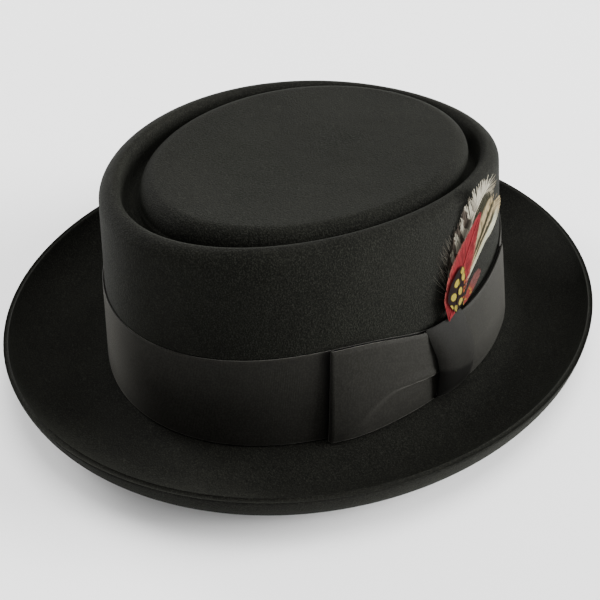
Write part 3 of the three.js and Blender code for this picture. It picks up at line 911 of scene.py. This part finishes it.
class HAT_OT_bow_loops(bpy.types.Operator):
    """Two loops of the bow, each a ribbon folded back on itself with a pleat in its front."""

    bl_idname = "hat.bow_loops"
    bl_label = "Bow Loops"

    def execute(self, context):
        form = form_of(context)
        trim = context.scene.hat_trim
        tree = rib_tree(HAT_OT_ribbon_band.finish(context))
        loops = ((-1, "bow_loop_front", "bow_front_loop"), (1, "bow_loop_back", "bow_back_loop"))
        for side, name, solid in loops:
            points, marks, edge, painted_shade, rows, columns = self.loop(form, trim, side)
            faces = grid_faces(rows, columns)
            if side > 0:
                faces = faces[:, ::-1]
            thing = ribbed(name, points, marks, edge, painted_shade, faces, trim, tree)
            finish_piece(thing, HAT_OT_ribbon_band.finish(context), solid)
        return {"FINISHED"}

    def loop(self, form, trim, side):
        """Points of a loop: each row runs at one height from under the knot, round the fold and back."""
        heights = np.concatenate([[0, 0.008, 0.02], np.linspace(0.04, 0.92, 54), np.linspace(0.93, 1, 10)])
        front = np.linspace(LOOP_ROWS["reach"][0], 1, 300)
        turn = np.linspace(0, math.pi, 15)[1:-1]
        back = np.linspace(1, 0.1, 90)
        floor = trim.gap * 2 + trim.band_wall
        reach = np.concatenate([front, np.ones(len(turn)), back])
        near = form.knot_side(np.array([sum(form.knot_reach()) / 2]), side)
        spot = near + (trim.bow_centre + side * trim.loop_reach - near) * np.clip(reach, 0, 1)
        bottom, top = form.ribbon_edges(spot)
        behind = np.arange(len(reach)) >= len(front) + len(turn) // 2
        top = top + LOOP_RISE - LOOP_BACK_DROP * behind
        stand = trim.loop_proud * column(LOOP_ROWS, "proud", front)
        pleat = column(LOOP_ROWS, "pleat", front)
        fall = trim.pleat_step * column(LOOP_ROWS, "step", front)
        if side > 0:
            stand = stand * (1 - trim.back_flatness * smooth(front / 0.8))
            fall = fall * BACK_PLEAT
        soft = CREASE + CREASE_SOFTER * smooth((front - 0.15) / 0.5)
        low = floor + LOOP_BACK_LIFT
        rows = []
        for h in heights:
            up = bottom * (1 - h) + top * h
            upper = smooth((h - pleat) / soft + 0.5)
            swell = np.exp(-(((h - pleat - SWELL_WIDTH) / SWELL_WIDTH) ** 2)) * upper
            proud = stand - fall * (1 - upper) + SWELL_SHARE * fall * swell
            pillow = 1 - 0.5 * h ** 1.4 - 0.14 * smooth((h - 0.96) / 0.04) - 0.25 * smooth((0.1 - h) / 0.1)
            proud = floor + proud * pillow
            bend = (proud[-1] - low) / 2
            out = np.concatenate([proud, low + bend * (1 + np.cos(turn)), np.full(len(back), low)])
            start = form.knot_side(up, side)
            fold = trim.bow_centre + side * (trim.loop_reach + trim.loop_slant * (0.5 - h) - bend)
            along = start + (fold - start) * reach
            along[len(front):len(front) + len(turn)] += side * bend * np.sin(turn)
            rows.append(form.wall_point(along, up, out))
        points = np.concatenate(rows)
        line = rows[len(rows) // 2]
        marks = np.tile(way_along(line), len(heights))
        edge = np.repeat(np.abs(2 * heights - 1), len(line))
        # Painted shade on each loop's fold and its back layer
        painted_shade = np.tile(smooth((np.arange(len(line)) - len(front) - 1) / 5), len(heights))
        return points, marks, edge, painted_shade, len(heights), len(line)


class HAT_OT_bow_knot(bpy.types.Operator):
    """Knot of the bow: a short ribbon wrapped over its middle."""

    bl_idname = "hat.bow_knot"
    bl_label = "Bow Knot"

    def execute(self, context):
        form = form_of(context)
        trim = context.scene.hat_trim
        low, high = form.knot_reach()
        levels = np.linspace(KNOT_ROWS["up"][0], KNOT_ROWS["up"][-1], 260)
        across = np.concatenate([[-1, -0.985, -0.96], np.linspace(-0.92, 0.92, 47), [0.96, 0.985, 1]])
        floor = 2 * trim.gap + trim.band_wall
        shift, wide, proud = (column(KNOT_ROWS, key, levels) for key in ("shift", "wide", "proud"))
        up = low + (high - low) * levels
        rows = []
        for x in across:
            puff = 1 - KNOT_PUFF * abs(x) ** KNOT_PUFF_POWER
            along = trim.bow_centre + trim.knot_half_width * (shift + x * wide)
            rows.append(form.wall_point(along, up, floor + trim.knot_proud * proud * puff))
        points = np.concatenate(rows)
        marks = np.tile(way_along(rows[len(rows) // 2]), len(across))
        edge = np.repeat(np.abs(across), len(levels))
        # Painted shade on the knot's lower part, darker below a slanted line where the cloth turns under
        shade_line = KNOT_SHADE_LEVEL - KNOT_SHADE_SLANT * across[:, None]
        painted_shade = smooth((shade_line - levels[None, :]) / KNOT_SHADE_WIDTH + 0.5).ravel()
        # The knot's cloth is the ribbon's made 0.55 as bright, as painted shade
        cloth = ribbon_finish(context.scene.hat_colors, "knot_cloth_painted_darker", 0.55)
        tree = rib_tree(cloth)
        faces = grid_faces(len(across), len(levels))[:, ::-1]
        knot = ribbed("bow_wrap", points, marks, edge, painted_shade, faces, trim, tree)
        finish_piece(knot, cloth, "bow_knot")
        return {"FINISHED"}


class HAT_OT_feathers(bpy.types.Operator):
    """Tuft of feathers: each has a quill and a vane of barbs, laid over the crown's wall."""

    bl_idname = "hat.feathers"
    bl_label = "Feathers"

    patterns = {
        "feather_brown": hackle_pattern,
        "feather_barred": barred_pattern,
        "feather_striped": striped_pattern,
        "feather_red": red_pattern,
        "feather_small_red": small_red_pattern,
        "feather_spotted": spotted_pattern,
    }

    def execute(self, context):
        form = form_of(context)
        tuft = context.scene.hat_tuft
        for number, (name, feather) in enumerate(FEATHERS.items()):
            slot = feather["slot"]
            plume = name.replace("feather_", "plume_")
            material = feather_finish(plume, self.patterns.get(name, self.patterns[slot]))
            half = tuft.width * feather["wide"] / 2
            long = form.blade_length(feather)[2]
            tree = self.vane(name + "_vane", BLADES[feather["blade"]])
            thing = add_mesh(plume, [(0, 0, 0)], [])
            spacing = long / feather["barbs"]
            use_tree(thing, tree, length=long, half_width=half, barbs=feather["barbs"],
                     barb_width=spacing * feather["barb"], slant=feather["slant"], ragged=feather["ragged"],
                     foot_slant=-0.8 if feather["blade"] == "down" else 1.0,
                     quill=tuft.quill / 2 * (0.3 + 0.5 * feather["wide"]), seed=tuft.seed + number,
                     material=material)
            bake(thing)
            self.wrap(form, feather, thing.data, half, long)
            finish_piece(thing, material, name)
        return {"FINISHED"}

    def outline(self, tree, widths, at):
        """Half width of a feather at a share of its length."""
        made = tree.nodes.new("ShaderNodeFloatCurve")
        curve = made.mapping.curves[0]
        for k, spot in enumerate(zip(BLADE_AT, widths)):
            if k in (0, len(widths) - 1):
                curve.points[0 if k == 0 else -1].location = spot
            else:
                curve.points.new(*spot)
        made.mapping.update()
        tree.links.new(at.socket, made.inputs["Value"])
        return Value(tree, made.outputs[0])

    def vane(self, name, widths):
        """Tree of a flat feather along +Y: barbs on both sides of a quill, each ending on the outline."""
        tree, given = geometry_tree(name, {
            "Length": ("NodeSocketFloat", 0.05),
            "Half Width": ("NodeSocketFloat", 0.008),
            "Barbs": ("NodeSocketInt", 120),
            "Barb Width": ("NodeSocketFloat", 0.0006),
            "Slant": ("NodeSocketFloat", 0.8),
            "Foot Slant": ("NodeSocketFloat", 0.6),
            "Ragged": ("NodeSocketFloat", 0.2),
            "Quill": ("NodeSocketFloat", 0.0005),
            "Seed": ("NodeSocketInt", 1),
            "Material": ("NodeSocketMaterial", None),
        })
        index = node(tree, "GeometryNodeInputIndex")
        at = index / (given["Barbs"] - 1.0)
        shapes = []
        for side in (1, -1):
            wobble, trimmed, tone, loft = (
                node(tree, "FunctionNodeRandomValue", {"data_type": "FLOAT"},
                     {2: 0.0, 3: 1.0, "ID": index, "Seed": given["Seed"] + float(side * offset)}, output=1)
                for offset in (11, 23, 37, 53))
            barb = node(tree, "GeometryNodeMeshGrid", {},
                        {"Size X": 1.0, "Size Y": 1.0, "Vertices X": 9, "Vertices Y": 2})
            position = node(tree, "GeometryNodeInputPosition")
            parts = tree.nodes.new("ShaderNodeSeparateXYZ")
            tree.links.new(position.socket, parts.inputs[0])
            x, y = Value(tree, parts.outputs[0]) + 0.5, Value(tree, parts.outputs[1])
            taper = y * (1.0 - BARB_TAPER * (x ** 2.0))
            bowed = vector(tree, x * float(side), taper, taper * 0.3 + x ** 2.0)
            barb = node(tree, "GeometryNodeSetPosition", {}, {"Geometry": barb, "Position": bowed})
            if side < 0:
                barb = node(tree, "GeometryNodeFlipFaces", {}, {0: barb})
            settled = step(at, 0.0, 0.25)
            slant = given["Foot Slant"] * (1.0 - settled) + given["Slant"] * settled
            spread = (wobble - 0.5) * given["Ragged"] * BARB_SPREAD
            ends = at * 0.88 + slant * given["Half Width"] / given["Length"] * (1.0 - at) + at * 0.12
            ends = ends + spread * (1.0 - at * 0.7)
            aside = self.outline(tree, widths, ends.clamped()) * given["Half Width"]
            ahead = (ends - at * 0.9) * given["Length"]
            lean = aside.math("ARCTAN2", ahead, aside)
            ragged = given["Ragged"] * (1.0 if side < 0 else CALM_SIDE)
            long = (aside ** 2.0 + ahead ** 2.0) ** 0.5 * (1.0 - trimmed ** 2.0 * ragged)
            turn = vector(tree, 0.0, 0.0, lean * float(side))
            arch = loft * RUFFLED_ARCH * given["Ragged"] + SMOOTH_ARCH
            size = vector(tree, long, given["Barb Width"], arch)
            stride = vector(tree, 0.0, given["Length"] / (given["Barbs"] - 1.0) * 0.9, 0.0)
            line = node(tree, "GeometryNodeMeshLine", {"mode": "OFFSET"},
                        {"Count": given["Barbs"], "Offset": stride})
            hairs = node(tree, "GeometryNodeInstanceOnPoints", {},
                         {"Points": line, "Instance": barb, "Rotation": turn, "Scale": size})
            hairs = node(tree, "GeometryNodeStoreNamedAttribute",
                         {"data_type": "FLOAT", "domain": "INSTANCE"},
                         {"Geometry": hairs, "Name": "tone", "Value": tone})
            shapes.append(hairs)
        end = vector(tree, 0.0, given["Length"] * QUILL_REACH, 0.0)
        spine = node(tree, "GeometryNodeCurvePrimitiveLine", {}, {"End": end})
        spine = node(tree, "GeometryNodeResampleCurve", {}, {"Curve": spine, "Count": 16})
        factor = node(tree, "GeometryNodeSplineParameter")
        narrow = 1.0 - factor * QUILL_TAPER
        spine = node(tree, "GeometryNodeSetCurveRadius", {}, {"Curve": spine, "Radius": narrow})
        ring = node(tree, "GeometryNodeCurvePrimitiveCircle", {}, {"Resolution": 8, "Radius": given["Quill"]})
        spine = node(tree, "GeometryNodeCurveToMesh", {},
                     {"Curve": spine, "Profile Curve": ring, "Fill Caps": True})
        both = tree.nodes.new("GeometryNodeJoinGeometry")
        for shape in (*shapes, spine):
            tree.links.new(shape.socket, both.inputs[0])
        close_tree(tree, Value(tree, both.outputs[0]), given["Material"])
        return tree

    def wrap(self, form, feather, mesh, half, long):
        """Lays a flat feather over the crown and notes where each point lies on it."""
        flat = np.empty(len(mesh.vertices) * 3, np.float32)
        mesh.vertices.foreach_get("co", flat)
        flat = flat.reshape(-1, 3).astype(float)
        x, at, z = flat[:, 0], flat[:, 1] / long, flat[:, 2]
        shape = np.interp(at, BLADE_AT, BLADES[feather["blade"]])
        points = form.blade_point(feather, x, at, z - VANE_CUP * half * (x / half) ** 2)
        mesh.vertices.foreach_set("co", points.astype(np.float32).ravel())
        for key, data in (("across", x / (half * np.maximum(shape, 0.2))), ("at", at)):
            layer = mesh.attributes.new(key, "FLOAT", "POINT")
            layer.data.foreach_set("value", np.asarray(data, np.float32))
        mesh.update()


# --- studio


class HAT_OT_studio(bpy.types.Operator):
    """Pale floor, soft lights and the camera."""

    bl_idname = "hat.studio"
    bl_label = "Studio"

    def execute(self, context):
        studio = context.scene.hat_studio
        self.floor(studio)
        self.lights(context, studio)
        self.camera(context, studio, form_of(context).centre)
        return {"FINISHED"}

    def floor(self, studio):
        corners = [(x * FLOOR, y * FLOOR, 0) for x, y in ((-1, -1), (1, -1), (1, 1), (-1, 1))]
        floor = add_mesh("floor", corners, [(0, 1, 2, 3)])
        plain = Finish("floor", Roughness=0.9, Specular_IOR_Level=0.1)
        plain.shader.inputs["Base Color"].default_value = rgb(studio.floor)
        floor.data.materials.append(plain.material)

    def lights(self, context, studio):
        world = bpy.data.worlds.new("sky")
        world.use_nodes = True
        sky = world.node_tree.nodes["Background"]
        sky.inputs["Color"].default_value = (1, 1, 1, 1)
        sky.inputs["Strength"].default_value = studio.sky
        context.scene.world = world
        for name, azimuth, elevation, distance, size, power in LAMPS:
            a, e = math.radians(azimuth), math.radians(elevation)
            direction = Vector((math.cos(a) * math.cos(e), math.sin(a) * math.cos(e), math.sin(e)))
            light = bpy.data.lights.new(name, "AREA")
            light.shape, light.size, light.energy = "SQUARE", size, power
            lamp = bpy.data.objects.new(name, light)
            lamp.location = direction * distance + Vector((0, 0, 0.05))
            lamp.rotation_euler = direction.to_track_quat("Z", "Y").to_euler()
            context.scene.collection.objects.link(lamp)

    def axes(self, studio):
        a, e, r = studio.azimuth, studio.elevation, studio.roll
        back = Vector((math.sin(a) * math.cos(e), -math.cos(a) * math.cos(e), math.sin(e)))
        right = Vector((math.cos(a), math.sin(a), 0))
        up = back.cross(right)
        return right * math.cos(r) + up * math.sin(r), up * math.cos(r) - right * math.sin(r), back

    def camera(self, context, studio, centre):
        right, up, back = self.axes(studio)
        lens = bpy.data.cameras.new("camera")
        lens.sensor_width = SENSOR
        lens.lens = studio.focal * SENSOR / PICTURE
        lens.clip_start, lens.clip_end = 0.01, 100.0
        camera = bpy.data.objects.new("camera", lens)
        per_pixel = studio.distance / studio.focal
        aim = Vector((0, centre, studio.aim_height))
        spot = aim + back * studio.distance
        spot -= right * (studio.aim_x - PICTURE / 2) * per_pixel
        spot += up * (studio.aim_y - PICTURE / 2) * per_pixel
        turn = Matrix((right, up, back)).transposed().to_4x4()
        camera.matrix_world = Matrix.Translation(spot) @ turn
        context.scene.collection.objects.link(camera)
        context.scene.camera = camera


class HAT_PT_panel(bpy.types.Panel):
    """Lists the hat's pieces and its settings."""

    bl_idname = "HAT_PT_panel"
    bl_label = "Porkpie Hat"
    bl_space_type = "VIEW_3D"
    bl_region_type = "UI"
    bl_category = "Hat"

    def draw(self, context):
        for operator in OPERATORS:
            self.layout.operator(operator.bl_idname)
        for name in GROUPS:
            box = self.layout.box()
            settings = getattr(context.scene, name)
            for key in settings.__annotations__:
                box.prop(settings, key)


GROUPS = {
    "hat_felt": HatFeltSettings,
    "hat_trim": HatTrimSettings,
    "hat_tuft": HatTuftSettings,
    "hat_colors": HatColorSettings,
    "hat_studio": HatStudioSettings,
}
OPERATORS = (HAT_OT_studio, HAT_OT_felt_body, HAT_OT_ribbon_band, HAT_OT_bow_loops, HAT_OT_bow_knot,
             HAT_OT_feathers)


def register():
    for group in GROUPS.values():
        bpy.utils.register_class(group)
    for operator in (*OPERATORS, HAT_PT_panel):
        bpy.utils.register_class(operator)
    for name, group in GROUPS.items():
        setattr(bpy.types.Scene, name, PointerProperty(type=group))


def unregister():
    for name in GROUPS:
        delattr(bpy.types.Scene, name)
    for thing in (*reversed(OPERATORS), HAT_PT_panel, *GROUPS.values()):
        bpy.utils.unregister_class(thing)


def main():
    register()
    bpy.ops.hat.studio()
    bpy.ops.hat.felt_body()
    bpy.ops.hat.ribbon_band()
    bpy.ops.hat.bow_loops()
    bpy.ops.hat.bow_knot()
    bpy.ops.hat.feathers()


if __name__ == "__main__":
    main()
